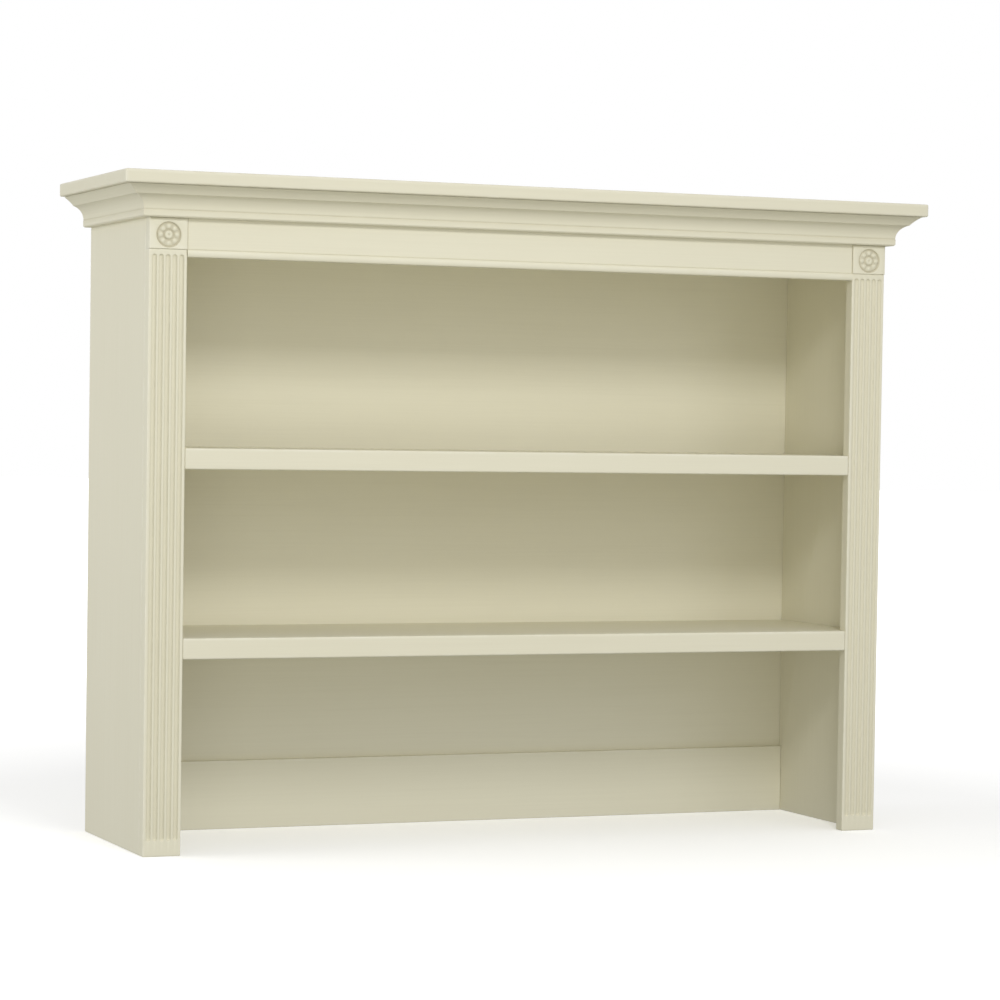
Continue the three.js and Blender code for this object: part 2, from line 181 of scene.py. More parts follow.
def blend_colours(tree, factor, first, second):
    """Mixes two colours, each a constant or a socket, by a factor socket."""
    node = add_node(tree, "ShaderNodeMix", {"data_type": "RGBA"})
    tree.links.new(factor, node.inputs[0])
    for socket, value in ((node.inputs[6], first), (node.inputs[7], second)):
        if isinstance(value, bpy.types.NodeSocket):
            tree.links.new(value, socket)
        else:
            socket.default_value = (*value, 1)
    return node.outputs[2]


def attribute(tree, name):
    return add_node(tree, "ShaderNodeAttribute", {"attribute_name": name}).outputs["Fac"]


def bump(tree, height, distance, strength, under=None):
    node = add_node(tree, "ShaderNodeBump", Height=height, Strength=strength, Distance=distance)
    if under is not None:
        tree.links.new(under, node.inputs["Normal"])
    return node.outputs["Normal"]


def along(axis, lengthwise, across):
    """A scale that is low along the board's axis, so that marks run along it."""
    return tuple(lengthwise if i == axis else across for i in range(3))


# The dark olive-brown colour is both the glaze and the painted shade of hollows and joints.
PAINT = {
    "light": (0.806, 0.776, 0.625),
    "deep": (0.786, 0.752, 0.598),
    "glaze_and_shade": (0.430, 0.385, 0.260),
    "rubbed": (0.850, 0.825, 0.705),
}
BARE = {
    "pale": (0.60, 0.42, 0.23),
    "dark": (0.40, 0.25, 0.12),
    "pores": (0.25, 0.15, 0.07),
}
PLATING = {
    "dull": (0.52, 0.53, 0.54),
    "bright": (0.68, 0.68, 0.66),
}


def painted_wood(name, axis):
    """Satin cream paint, brushed along the board, with the grain telegraphing through it,
    glaze and painted shade left in the hollows and joints, and a paler rub on the arrises."""
    material, tree, shader = new_material(name)
    mottle = stretched_noise(tree, along(axis, 1.6, 4.0), detail=3)
    brush = stretched_noise(tree, along(axis, 5.0, 380.0), detail=4, roughness=0.65)
    grain = stretched_noise(tree, along(axis, 1.3, 62.0), detail=5, roughness=0.6, distortion=0.6)
    peel = stretched_noise(tree, (650.0,) * 3, detail=2)
    patchy = stretched_noise(tree, (34.0,) * 3, detail=3)

    tone = remap(tree, mottle, 0.3, 0.7, 0.0, 1.0)
    colour = blend_colours(tree, tone, PAINT["deep"], PAINT["light"])
    strokes = remap(tree, brush, 0.4, 0.75, 0.0, 0.07)
    streaks = multiply(tree, strokes, remap(tree, grain, 0.3, 0.7, 0.2, 1.0))
    colour = blend_colours(tree, streaks, colour, PAINT["glaze_and_shade"])
    # Darkening in hollows and joints from its attribute: partly antique glaze, partly painted shade
    # standing in for occlusion.
    glaze_and_shade = multiply(tree, attribute(tree, "glaze_and_shade"), remap(tree, patchy, 0.3, 0.75, 0.5, 0.75))
    colour = blend_colours(tree, glaze_and_shade, colour, PAINT["glaze_and_shade"])
    rub = multiply(tree, attribute(tree, "wear"), remap(tree, patchy, 0.42, 0.62, 0.1, 0.8))
    colour = blend_colours(tree, rub, colour, PAINT["rubbed"])
    tree.links.new(colour, shader.inputs["Base Color"])

    tree.links.new(remap(tree, brush, 0.25, 0.75, 0.42, 0.56), shader.inputs["Roughness"])
    shader.inputs["Specular IOR Level"].default_value = 0.40
    relief = bump(tree, grain, 0.22 * MM, 0.35)
    relief = bump(tree, brush, 0.07 * MM, 0.45, relief)
    relief = bump(tree, peel, 0.03 * MM, 0.35, relief)
    tree.links.new(relief, shader.inputs["Normal"])
    return material


def bare_wood(name, axis):
    """Planed, unpainted hardwood with its figure along the piece."""
    material, tree, shader = new_material(name)
    figure = stretched_noise(tree, along(axis, 6.0, 160.0), detail=6, roughness=0.62, distortion=1.2)
    pores = stretched_noise(tree, along(axis, 60.0, 1500.0), detail=2)
    colour = blend_colours(tree, remap(tree, figure, 0.35, 0.7, 0, 1), BARE["pale"], BARE["dark"])
    colour = blend_colours(tree, remap(tree, pores, 0.55, 0.8, 0.0, 0.4), colour, BARE["pores"])
    tree.links.new(colour, shader.inputs["Base Color"])
    tree.links.new(remap(tree, figure, 0.3, 0.7, 0.55, 0.75), shader.inputs["Roughness"])
    tree.links.new(bump(tree, pores, 0.05 * MM, 0.5), shader.inputs["Normal"])
    return material


def zinc_plate(name):
    """Bright zinc plating with a cloudy passivated film and fine handling scratches."""
    material, tree, shader = new_material(name)
    cloud = stretched_noise(tree, (160.0,) * 3, detail=4)
    scratches = stretched_noise(tree, (90.0, 90.0, 3200.0), detail=3, roughness=0.7)
    film = remap(tree, cloud, 0.3, 0.7, 0, 1)
    colour = blend_colours(tree, film, PLATING["dull"], PLATING["bright"])
    tree.links.new(colour, shader.inputs["Base Color"])
    shader.inputs["Metallic"].default_value = 1.0
    tree.links.new(remap(tree, scratches, 0.3, 0.7, 0.26, 0.46), shader.inputs["Roughness"])
    tree.links.new(bump(tree, scratches, 0.01 * MM, 0.4), shader.inputs["Normal"])
    return material


PAINT_X, PAINT_Y, PAINT_Z = (painted_wood(f"cream_paint_{n}", i) for i, n in enumerate("xyz"))
BARE_X = bare_wood("bare_wood_x", 0)
ZINC = zinc_plate("zinc_plate")


# ---- Mesh helpers ----

def finished(node, bm, material, shades=None, sharp=40):
    """Turns a bmesh into the piece that stands for a CAD node.

    shades(co) gives a vertex's (wear, glaze and painted shade), both from 0 to 1."""
    bmesh.ops.recalc_face_normals(bm, faces=bm.faces[:])
    mesh = bpy.data.meshes.new(f"{node}_finished")
    bm.to_mesh(mesh)
    bm.free()
    values = [shades(v.co) for v in mesh.vertices] if shades else [(0.0, 0.0)] * len(mesh.vertices)
    for i, name in enumerate(("wear", "glaze_and_shade")):
        layer = mesh.attributes.new(name, "FLOAT", "POINT")
        layer.data.foreach_set("value", [v[i] for v in values])
    mesh.polygons.foreach_set("use_smooth", [True] * len(mesh.polygons))
    mesh.set_sharp_from_angle(angle=math.radians(sharp))
    mesh.materials.append(material)
    piece = bpy.data.objects.new(f"{node}_finished", mesh)
    bpy.context.scene.collection.objects.link(piece)
    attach(piece, "root")
    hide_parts(node)


def loft(rows):
    """A solid through rows of points, each row a closed ring; the first and last are capped."""
    bm = bmesh.new()
    rings = [[bm.verts.new(p) for p in row] for row in rows]
    count = len(rings[0])
    for a, b in zip(rings, rings[1:]):
        for i in range(count):
            j = (i + 1) % count
            bm.faces.new((a[i], a[j], b[j], b[i]))
    bm.faces.new(rings[0])
    bm.faces.new(rings[-1])
    return bm


def edge_wear(low, high, band=WEAR_BAND):
    """Wear that fades over a band from the nearest arris of a box."""
    def shades(co):
        gaps = sorted(min(abs(co[i] - low[i]), abs(high[i] - co[i])) for i in range(3))
        reach = math.hypot(gaps[0], gaps[1])
        return (max(0.0, 1 - reach / band) ** WEAR_FADE, 0.0)
    return shades


def split_beside_arrises(bm, low, high, band=WEAR_BAND):
    """Cuts loops a band in from the arrises, so that the wear fades across the band only."""
    for i in range(3):
        if high[i] - low[i] < 3 * band:
            continue
        normal = Vector([1.0 if k == i else 0.0 for k in range(3)])
        for place in (low[i] + band, high[i] - band):
            bmesh.ops.bisect_plane(bm, geom=bm.verts[:] + bm.edges[:] + bm.faces[:],
                                   plane_co=normal * place, plane_no=normal)
    return bm


def plain_box(low, high):
    """A box with sharp arrises, between two opposite corners."""
    bm = bmesh.new()
    low, high = Vector(low), Vector(high)
    matrix = Matrix.Translation((low + high) / 2) @ Matrix.Diagonal((*(high - low), 1))
    bmesh.ops.create_cube(bm, size=1, matrix=matrix)
    return bm


def eased_box(low, high, ease, band=WEAR_BAND):
    """A box with round arrises."""
    bm = plain_box(low, high)
    bmesh.ops.bevel(bm, geom=bm.edges[:], offset=ease, segments=4, profile=0.5, affect="EDGES")
    return split_beside_arrises(bm, low, high, band)


def board(node, material, ease=EASE, film=0.0):
    """An eased board, rubbed on its arrises, darkened evenly all over by film as painted shade."""
    low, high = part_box(node)
    wear = edge_wear(low, high)

    def shades(co):
        return (wear(co)[0], film)

    finished(node, eased_box(low, high, ease), material, shades)


def without(bm, cutters):
    """The bmesh less the cutters, each a bmesh; all of them are used up."""
    objects = []
    for part in (bm, *cutters):
        bmesh.ops.recalc_face_normals(part, faces=part.faces[:])
        mesh = bpy.data.meshes.new("cutting")
        part.to_mesh(mesh)
        part.free()
        objects.append(bpy.data.objects.new("cutting", mesh))
        bpy.context.scene.collection.objects.link(objects[-1])
    for cutter in objects[1:]:
        modifier = objects[0].modifiers.new("cut", "BOOLEAN")
        modifier.object = cutter
        modifier.solver = "EXACT"
    bpy.context.view_layer.update()
    evaluated = objects[0].evaluated_get(bpy.context.evaluated_depsgraph_get())
    result = bmesh.new()
    result.from_mesh(evaluated.to_mesh())
    evaluated.to_mesh_clear()
    for piece in objects:
        mesh = piece.data
        bpy.data.objects.remove(piece)
        bpy.data.meshes.remove(mesh)
    return result


ARRIS_TURN = 0.5  # radians; an edge that turns less is part of a curve


def bevel_arrises(bm, ease, segments=3):
    """Rounds the convex edges only, so that inside corners stay crisp."""
    convex = [e for e in bm.edges if e.is_manifold and e.is_convex]
    arrises = [e for e in convex if e.calc_face_angle(0) > ARRIS_TURN]
    bmesh.ops.bevel(bm, geom=arrises, offset=ease, segments=segments, profile=0.5, affect="EDGES",
                    clamp_overlap=True)
    return bm


NEAR_STRAIGHT = math.radians(150)
ROUND_SHARE = 0.45  # the most of a side that the round at one of its ends may take


def softened(points, radius, steps=3):
    """The outline with each corner replaced by a small round, or left where it is near straight."""
    result = []
    count = len(points)
    for i, corner in enumerate(points):
        before = points[i - 1] - corner
        after = points[(i + 1) % count] - corner
        if before.angle(after) > NEAR_STRAIGHT:
            result.append(corner)
            continue
        reach = min(radius, before.length * ROUND_SHARE, after.length * ROUND_SHARE)
        start = corner + before.normalized() * reach
        end = corner + after.normalized() * reach
        for k in range(steps + 1):
            t = k / steps
            result.append(start.lerp(corner, t).lerp(corner.lerp(end, t), t))
    return result


# ---- Plain boards ----

# The cap is darkened all over with painted shade, to tone down the light it catches.
board("cap_board", PAINT_X, CAP_EASE, film=CAP_SHADE_FILM)
board("ceiling_board", PAINT_X)
board("back_panel", PAINT_X, PANEL_EASE)
for shelf in ("upper_shelf", "lower_shelf"):
    board(f"{shelf}_board", PAINT_X, SHELF_EASE)
    board(f"{shelf}_nosing", PAINT_X, NOSING_EASE)


def frieze():
    """The frieze board, darkened along its foot and its ends beside prouder pieces, as glaze and painted
    shade.
    """
    low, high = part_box("frieze_rail")
    foot_glaze_and_shade = 0.2

    def shades(co):
        # Glaze and painted shade where the frieze meets the bead and the rosette blocks.
        foot = foot_glaze_and_shade * max(0.0, 1 - (co.z - low.z) / JOINT_BAND)
        end = max(0.0, 1 - min(co.x - low.x, high.x - co.x) / JOINT_BAND)
        return (0.0, max(foot, end))

    finished("frieze_rail", eased_box(low, high, JOINT_EASE, JOINT_BAND), PAINT_X, shades=shades)


frieze()


# ---- Rebated boards ----

def rebated_board(node, rebate_low, rebate_high, material):
    """A board with a rebate for the back panel cut out between the two corners given."""
    low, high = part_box(node)
    bm = without(plain_box(low, high), [plain_box(rebate_low, rebate_high)])
    split_beside_arrises(bevel_arrises(bm, EASE), low, high)
    finished(node, bm, material, shades=edge_wear(low, high))


LOWER_RAIL_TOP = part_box("lower_back_rail")[1].z
UPPER_RAIL_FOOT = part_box("upper_back_rail")[0].z
REBATE_FOOT = LOWER_RAIL_TOP - REBATE_DEPTH
REBATE_HEAD = UPPER_RAIL_FOOT + REBATE_DEPTH
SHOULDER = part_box("back_panel")[0].y - GAP
OUTSIDE = 0.01  # a cutter reaches this far past the board

for name, sign in (("left", -1), ("right", 1)):
    inner = sign * (SIDE_LOW.x - OUTSIDE)
    outer = sign * (SIDE_LOW.x + REBATE_WIDTH)
    rebated_board(f"side_panel_{name}", (min(inner, outer), SHOULDER, REBATE_FOOT),
                  (max(inner, outer), BACK + OUTSIDE, REBATE_HEAD), PAINT_Z)
rebated_board("lower_back_rail", (-BODY_HALF, SHOULDER, REBATE_FOOT),
              (BODY_HALF, BACK + OUTSIDE, LOWER_RAIL_TOP + OUTSIDE), PAINT_X)
rebated_board("upper_back_rail", (-BODY_HALF, SHOULDER, UPPER_RAIL_FOOT - OUTSIDE),
              (BODY_HALF, BACK + OUTSIDE, REBATE_HEAD), PAINT_X)


# ---- Fluted stiles ----

FLUTE_ROWS = 18  # along the straight part of a flute
CORNER_STEPS = 4  # in the round of a stile's corner


def spaced(start, end, count):
    """Numbers at equal steps from start to end, both included."""
    return [start + (end - start) * i / (count - 1) for i in range(count)]


def flute_depth(across, height, foot, head):
    """Depth of a round-ended flute at a point, given its distance from the flute's middle line."""
    beyond = max(foot + FLUTE_WIDTH / 2 - height, height - (head - FLUTE_WIDTH / 2), 0.0)
    reach = math.hypot(across, beyond)
    half = FLUTE_WIDTH / 2
    if reach >= half + FLUTE_ARRIS:
        return 0.0
    radius = (half ** 2 + FLUTE_DEPTH ** 2) / (2 * FLUTE_DEPTH)
    drop = FLUTE_DEPTH - radius

    def bowl(distance):
        return math.sqrt(max(radius ** 2 - distance ** 2, 0.0)) + drop

    if reach <= half - FLUTE_ARRIS:
        return bowl(reach)
    turn = (reach - (half - FLUTE_ARRIS)) / (2 * FLUTE_ARRIS)
    return bowl(half - FLUTE_ARRIS) * (1 - turn) ** 2


def flute_columns(middle):
    """Where the stile's face needs points across its width, as (x, distance from a flute)."""
    half = FLUTE_WIDTH / 2
    steps = [-1.0, -0.94, -0.8, -0.6, -0.35, 0.0, 0.35, 0.6, 0.8, 0.94, 1.0]
    inside = [s * (half - FLUTE_ARRIS) for s in steps]
    arris = spaced(half - FLUTE_ARRIS, half + FLUTE_ARRIS, 5)[1:]
    offsets = [-a for a in reversed(arris)] + inside + arris
    columns = []
    for i in range(FLUTES):
        centre = middle + (i - (FLUTES - 1) / 2) * FLUTE_PITCH
        columns += [(centre + offset, offset) for offset in offsets]
    return columns


def fluted_stile(node):
    """A stile lofted upwards: its ring follows the flutes, and rows gather at their ends."""
    low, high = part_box(node)
    middle = (low.x + high.x) / 2
    foot = low.z + FLUTE_FOOT
    head = high.z - FLUTE_MARGIN
    columns = flute_columns(middle)
    curved = [-FLUTE_ARRIS, 0, 0.1, 0.25, 0.45, 0.7, 1.0, 1.35, 1.8, 2.3, 2.9, FLUTE_WIDTH / 2 / MM]
    ends = [d if d < 0 else d * MM for d in curved]
    heights = [foot + d for d in ends]
    heights += spaced(foot + FLUTE_WIDTH, head - FLUTE_WIDTH, FLUTE_ROWS)
    heights += [head - d for d in reversed(ends)]

    def ring(height, inset):
        corners = [Vector((low.x, low.y)), Vector((high.x, low.y)),
                   Vector((high.x, high.y)), Vector((low.x, high.y))]
        turns = (math.pi, 1.5 * math.pi, 0.0, 0.5 * math.pi)
        face = [Vector((x, low.y + flute_depth(across, height, foot, head))) for x, across in columns]
        right = [Vector((high.x, y)) for y in (low.y + STILE_WEAR, high.y - STILE_WEAR)]
        left = [Vector((low.x, y)) for y in (high.y - STILE_WEAR, low.y + STILE_WEAR)]
        outline = []
        for corner, toward, side in zip(corners, turns, (face, right, [], left)):
            inward = Vector((middle - corner.x, (low.y + high.y) / 2 - corner.y))
            centre = corner + Vector((math.copysign(EASE, inward.x), math.copysign(EASE, inward.y)))
            for k in range(CORNER_STEPS + 1):
                angle = toward + k * math.pi / (2 * CORNER_STEPS)
                outline.append(centre + EASE * Vector((math.cos(angle), math.sin(angle))))
            outline += side
        hub = Vector((middle, (low.y + high.y) / 2))
        shrink = Vector((1 - 2 * inset / (high.x - low.x), 1 - 2 * inset / (high.y - low.y)))
        return [Vector((*(hub + (p - hub) * shrink), height)) for p in outline]

    rows = [ring(low.z, EASE), ring(low.z + 0.3 * EASE, 0.3 * EASE), ring(low.z + EASE, 0)]
    rows += [ring(z, 0) for z in (low.z + STILE_WEAR, *heights, high.z - STILE_WEAR)]
    rows += [ring(high.z - JOINT_EASE, 0), ring(high.z - 0.3 * JOINT_EASE, 0.3 * JOINT_EASE),
             ring(high.z, JOINT_EASE)]
    wear = edge_wear(low, high, STILE_WEAR)

    # Glaze and painted shade in the flutes, darker where they are deeper.
    def shades(co):
        between_corners = low.x + 2 * EASE < co.x < high.x - 2 * EASE
        below_face = low.y + 0.1 * MM < co.y < low.y + 1.05 * FLUTE_DEPTH
        sunk = max(0.0, (co.y - low.y) / FLUTE_DEPTH) if below_face else 0.0
        return (wear(co)[0], FLUTE_GLAZE_AND_SHADE * min(1.0, sunk) if between_corners else 0.0)

    finished(node, loft(rows), PAINT_Z, shades=shades)


fluted_stile("stile_left")
fluted_stile("stile_right")


# ---- Rosette blocks ----

# The carving, in millimetres.
PETAL_ROOT = 8.0
PETAL_LENGTH = 8.4
BOSS_RADIUS = 6.4
BOSS_HEIGHT = 2.9
DISH_RADIUS = 2.2
DISH_DEPTH = 1.9
GROOVE_HEIGHT = 0.15  # of the ring between boss and petals


def relief_height(radius, angle):
    """Height of the carving above the floor of its round recess, at a radius in millimetres."""
    petal = 0.5 + 0.5 * math.cos(PETALS * angle)
    if radius > PETAL_ROOT + PETAL_LENGTH:
        return 0.0
    if radius > PETAL_ROOT:
        turn = (radius - PETAL_ROOT) / PETAL_LENGTH
        dome = math.sin(math.pi * turn ** 0.85) ** 0.6
        return dome * (0.7 + 1.8 * petal ** 0.7)
    if radius > BOSS_RADIUS:
        return GROOVE_HEIGHT
    boss = math.sqrt(max(0.0, 1 - (radius / BOSS_RADIUS) ** 2)) * BOSS_HEIGHT
    dish = DISH_DEPTH * math.exp(-(radius / DISH_RADIUS) ** 2)
    return boss - dish


def rosette_block(node):
    """A corner block lofted from its back to the middle of the rosette in its face."""
    low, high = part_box(node)
    step = CROWN_LOW.z - GAP  # the block is proud only under the crown
    centre = Vector(((low.x + high.x) / 2, (low.z + step) / 2 - ROSETTE_DROP))
    face = low.y
    foot = low.z - GAP + PAINTED_GAP
    per_side = 44

    def rectangle(inset, top):
        left, right = low.x + inset, high.x - inset
        under, over = foot + min(inset, JOINT_EASE), top - inset
        corners = [Vector((right, under)), Vector((right, over)),
                   Vector((left, over)), Vector((left, under))]
        points = []
        for a, b in zip(corners, corners[1:] + corners[:1]):
            points += [a.lerp(b, k / per_side) for k in range(per_side)]
        return points

    spokes = [math.atan2(*reversed(p - centre)) for p in rectangle(0, step)]

    def circle(radius):
        return [centre + radius * Vector((math.cos(a), math.sin(a))) for a in spokes]

    def at(points, y):
        return [Vector((p.x, y, p.y)) for p in points]

    rows = [at(rectangle(EASE, high.z), high.y), at(rectangle(0.3 * EASE, high.z), high.y - 0.3 * EASE),
            at(rectangle(0, high.z), high.y - EASE), at(rectangle(0, high.z), FRONT),
            at(rectangle(0, step), FRONT), at(rectangle(0, step), face + EASE),
            at(rectangle(0.3 * EASE, step), face + 0.3 * EASE), at(rectangle(EASE, step), face)]
    rim = 0.5 * MM
    rows += [at(circle(ROSETTE_RADIUS + rim), face),
             at(circle(ROSETTE_RADIUS + 0.3 * rim), face + 0.3 * rim),
             at(circle(ROSETTE_RADIUS), face + rim),
             at(circle(ROSETTE_RADIUS - 0.5 * MM), face + ROSETTE_RECESS - rim),
             at(circle(ROSETTE_RADIUS - 1.0 * MM), face + ROSETTE_RECESS)]
    rings = [17, 16.5, 16.3, 16, 15.4, 14.6, 13.6, 12.6, 11.6, 10.6, 9.6, 8.9, 8.4, 8.1, 7.8, 7.2, 6.6,
             6.35, 6.1, 5.6, 4.9, 4.2, 3.4, 2.6, 1.8, 1.1, 0.5, 0.15]
    for radius in rings:
        row = []
        for point, angle in zip(circle(radius * MM), spokes):
            y = face + ROSETTE_RECESS - relief_height(radius, angle) * MM
            row.append(Vector((point.x, y, point.y)))
        rows.append(row)
    wear = edge_wear(low, Vector((high.x, high.y, step)), STILE_WEAR)

    # Glaze and painted shade in the recess round the carving, darker where it is deeper.
    def shades(co):
        radius = math.hypot(co.x - centre.x, co.z - centre.y)
        sunk = (co.y - face) / ROSETTE_RECESS if radius < ROSETTE_RADIUS else 0.0
        return (wear(co)[0], max(0.0, min(1.0, sunk)))

    finished(node, loft(rows), PAINT_Z, shades=shades, sharp=60)


rosette_block("rosette_block_left")
rosette_block("rosette_block_right")


# ---- Mouldings ----

STATIONS = 13  # rows along a moulding


def swept(node, profile, origin, outward, length, mitres, material, shades_of):
    """Sweeps a profile of (distance outward, height) beside the body, as the CAD does.

    mitres says which ends lean outward at 45 degrees, and shades_of(out, height) gives a
    point's (wear, glaze and painted shade)."""
    run = outward.cross(UP)
    rows = []
    for k in range(STATIONS):
        share = k / (STATIONS - 1)
        row = []
        for p in profile:
            lean = p.x - PAINTED_GAP
            start = -lean if mitres[0] else 0.0
            end = length + lean if mitres[1] else length
            row.append(origin + outward * p.x + UP * p.y + run * (start + (end - start) * share))
        rows.append(row)

    def shades(co):
        offset = co - origin
        return shades_of(offset.dot(outward), offset.z)

    finished(node, loft(rows), material, shades=shades, sharp=50)


def arc(centre, radius, start, end, steps):
    """Points round a centre, from one angle to another in degrees."""
    angles = [math.radians(start + (end - start) * k / steps) for k in range(steps + 1)]
    return [centre + radius * Vector((math.cos(a), math.sin(a))) for a in angles]


def bead_profile(low, high):
    """A flat back and a round nose, a little taller than the CAD's to close the joint over it."""
    height = high.z - low.z + GAP - PAINTED_GAP
    rise = math.degrees(math.asin(height / 2 / BEAD_RADIUS))
    hub = Vector((FRONT - low.y - BEAD_RADIUS, height / 2))
    back = FRONT - high.y
    points = [Vector((back, 0))] + arc(hub, BEAD_RADIUS, -rise, rise, 6) + [Vector((back, height))]
    return softened(points, EASE)


def add_bead():
    """The bead under the frieze, rubbed on its nose and darkened where it meets the frieze, as glaze and
    painted shade.
    """
    low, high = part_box("frieze_bead")
    nose_starts = 1.8 * MM  # out from the face of the stiles
    nose_wear = 0.35
    glaze_and_shade_band = 1.5 * MM
    glaze_and_shade_share = 0.15

    # Glaze and painted shade along the top, where the bead meets the frieze.
    def bead_shades(out, height):
        deep = max(0.0, 1 - (high.z - low.z - height) / glaze_and_shade_band)
        return (nose_wear if out > nose_starts else 0.0, glaze_and_shade_share * deep)

    swept("frieze_bead", bead_profile(low, high), Vector((high.x, FRONT, low.z)), Vector((0, -1, 0)),
          high.x - low.x, (False, False), PAINT_X, bead_shades)


def cove(out, up, radius, from_slope, to_slope, steps=14):
    """A hollow that starts at (out, up), in millimetres, and turns to a flatter slope."""
    lean = math.radians(from_slope)
    centre = Vector((out + radius * math.sin(lean), up - radius * math.cos(lean)))
    return arc(centre, radius, 90 + from_slope, 90 + to_slope, steps)


def crown_profile():
    """Fillet, quirk, quarter-round cove and a long slanting cove under the cap, from the foot up."""
    fillet = 12  # all in millimetres
    fillet_top = 10
    chamfer = 2
    quirk = 0.8
    reach = 40.6
    gap = 0.3
    height = (CROWN_HIGH.z - CROWN_LOW.z) / MM
    points = [Vector((gap, 0)), Vector((fillet - chamfer, 0)), Vector((fillet, chamfer)),
              Vector((fillet, fillet_top)), Vector((fillet - quirk, fillet_top))]
    points += cove(out=11.7, up=fillet_top + quirk, radius=21, from_slope=90, to_slope=15)
    points += cove(out=27.8, up=31.8, radius=57.5, from_slope=50, to_slope=33)
    points += [Vector((reach, height)), Vector((gap, height))]
    return softened([p * MM for p in points], 0.6 * MM)


# Each mark is (height of its middle, reach up and down, strength), heights in millimetres.
# The quirk and cove marks darken the moulding as glaze and painted shade.
QUIRK_GLAZE_AND_SHADE = (10.5, 3.0, 0.5)
COVE_GLAZE_AND_SHADE = (18.0, 24.0, 0.12)
FILLET_RUB = (4.5, 4.0, 0.4)


def crown_shades(_out, height):
    """A thin darkening in the lower cove, stronger in the quirk, as glaze and painted shade; rub on the
    fillet.
    """
    def strength(mark):
        place, band, full = mark
        return full * max(0.0, 1 - abs(height / MM - place) / band)

    return (strength(FILLET_RUB), max(strength(QUIRK_GLAZE_AND_SHADE), strength(COVE_GLAZE_AND_SHADE)))


def add_crown():
    """The three lengths of the crown, mitred at the front corners."""
    profile = crown_profile()
    depth = BACK - FRONT
    foot = CROWN_LOW.z
    swept("crown_front", profile, Vector((BODY_HALF, FRONT, foot)), Vector((0, -1, 0)),
          2 * BODY_HALF, (True, True), PAINT_X, crown_shades)
    swept("crown_left", profile, Vector((-BODY_HALF, FRONT, foot)), Vector((-1, 0, 0)),
          depth, (True, False), PAINT_Y, crown_shades)
    swept("crown_right", profile, Vector((BODY_HALF, BACK, foot)), Vector((1, 0, 0)),
          depth, (False, True), PAINT_Y, crown_shades)


add_bead()
add_crown()


# ---- Fittings ----

def ring_of(radius, place, axis, count):
    """Points on a circle round an axis, one of the unit vectors, with its middle at a place."""
    first = axis.orthogonal().normalized()
    second = axis.cross(first)
    turns = [2 * math.pi * k / count for k in range(count)]
    return [place + radius * (math.cos(t) * first + math.sin(t) * second) for t in turns]


def dowel(node):
    """A grooved birch dowel with chamfered ends."""
    low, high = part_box(node)
    radius = (high.z - low.z) / 2
    middle = Vector((0, (low.y + high.y) / 2, (low.z + high.z) / 2))
    chamfer = 1.2 * MM
    grooves = 12
    groove_share = 0.955  # of the radius, at the bottom of a groove

    def ring(x, inset):
        hub = Vector((x, middle.y, middle.z))
        points = ring_of(radius - inset, hub, Vector((1, 0, 0)), 4 * grooves)
        return [hub + (p - hub) * (groove_share if k % 4 == 0 else 1.0) for k, p in enumerate(points)]

    rows = [ring(low.x, chamfer), ring(low.x + chamfer, 0),
            ring(high.x - chamfer, 0), ring(high.x, chamfer)]
    finished(node, loft(rows), BARE_X, sharp=25)


def corner_block(node, backward):
    """A three-sided glue block under the cap board, its right angle in the corner."""
    low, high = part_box(node)
    corner = low.y if backward > 0 else high.y
    leg = backward * (high.y - low.y)
    outline = [Vector((corner, high.z)), Vector((corner + leg, high.z)), Vector((corner, low.z))]
    rows = [[Vector((x, p.x, p.y)) for p in outline] for x in (low.x, high.x)]
    block_ease = 0.8 * MM
    finished(node, bevel_arrises(loft(rows), block_ease, 2), BARE_X)


def cross_cutter(place, reach, width, depth):
    """Two tapered blades that cut a cross recess into a head whose top is at place."""
    proud = -0.3 * MM
    levels = ((proud, 1.1, 1.0), (depth, 0.45, 0.6))  # depth, share of the width, of the height
    cutters = []
    for wide, tall in ((reach, width), (width, reach)):
        rows = []
        for sink, wide_share, tall_share in levels:
            half_x = wide * wide_share
            half_z = tall * tall_share
            rows.append([Vector((place.x + i * half_x, place.y - sink, place.z + k * half_z))
                         for i, k in ((-1, -1), (1, -1), (1, 1), (-1, 1))])
        cutters.append(loft(rows))
    return cutters


def pan_screw(node):
    """A pan-head screw in zinc, with a domed head, a cross recess and a threaded shank."""
    low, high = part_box(node)
    centre = Vector(((low.x + high.x) / 2, 0, (low.z + high.z) / 2))
    head = (high.x - low.x) / 2
    thick = 2.4 * MM
    seat = high.y - thick
    core = head * 0.42
    thread = head * 0.5
    pitch = 1.4 * MM
    point = 1.6 * MM
    plain = 3 * MM  # of the shank, without a thread, point included
    outline = [(low.y, 0.05 * core), (low.y + point, core)]  # as (y, radius)
    turns = int((seat - low.y - plain) / pitch)
    for k in range(turns):
        start = low.y + point + k * pitch
        outline += [(start + 0.4 * pitch, core), (start + 0.55 * pitch, thread),
                    (start + 0.7 * pitch, core)]
    outline += [(seat - 0.2 * MM, core), (seat, core),
                (seat, head * 0.94), (seat + 0.15 * thick, head)]
    dome = [(math.sin(a), math.cos(a)) for a in spaced(0.25, math.pi / 2 - 0.08, 8)]
    outline += [(seat + thick * (0.4 + 0.6 * s), head * (0.06 + 0.94 * c)) for s, c in dome]
    rows = [ring_of(r, Vector((centre.x, y, centre.z)), Vector((0, 1, 0)), 32) for y, r in outline]
    top = Vector((centre.x, high.y, centre.z))
    bm = without(loft(rows), cross_cutter(top, head * 0.55, head * 0.13, 1.3 * MM))
    finished(node, bm, ZINC, sharp=35)


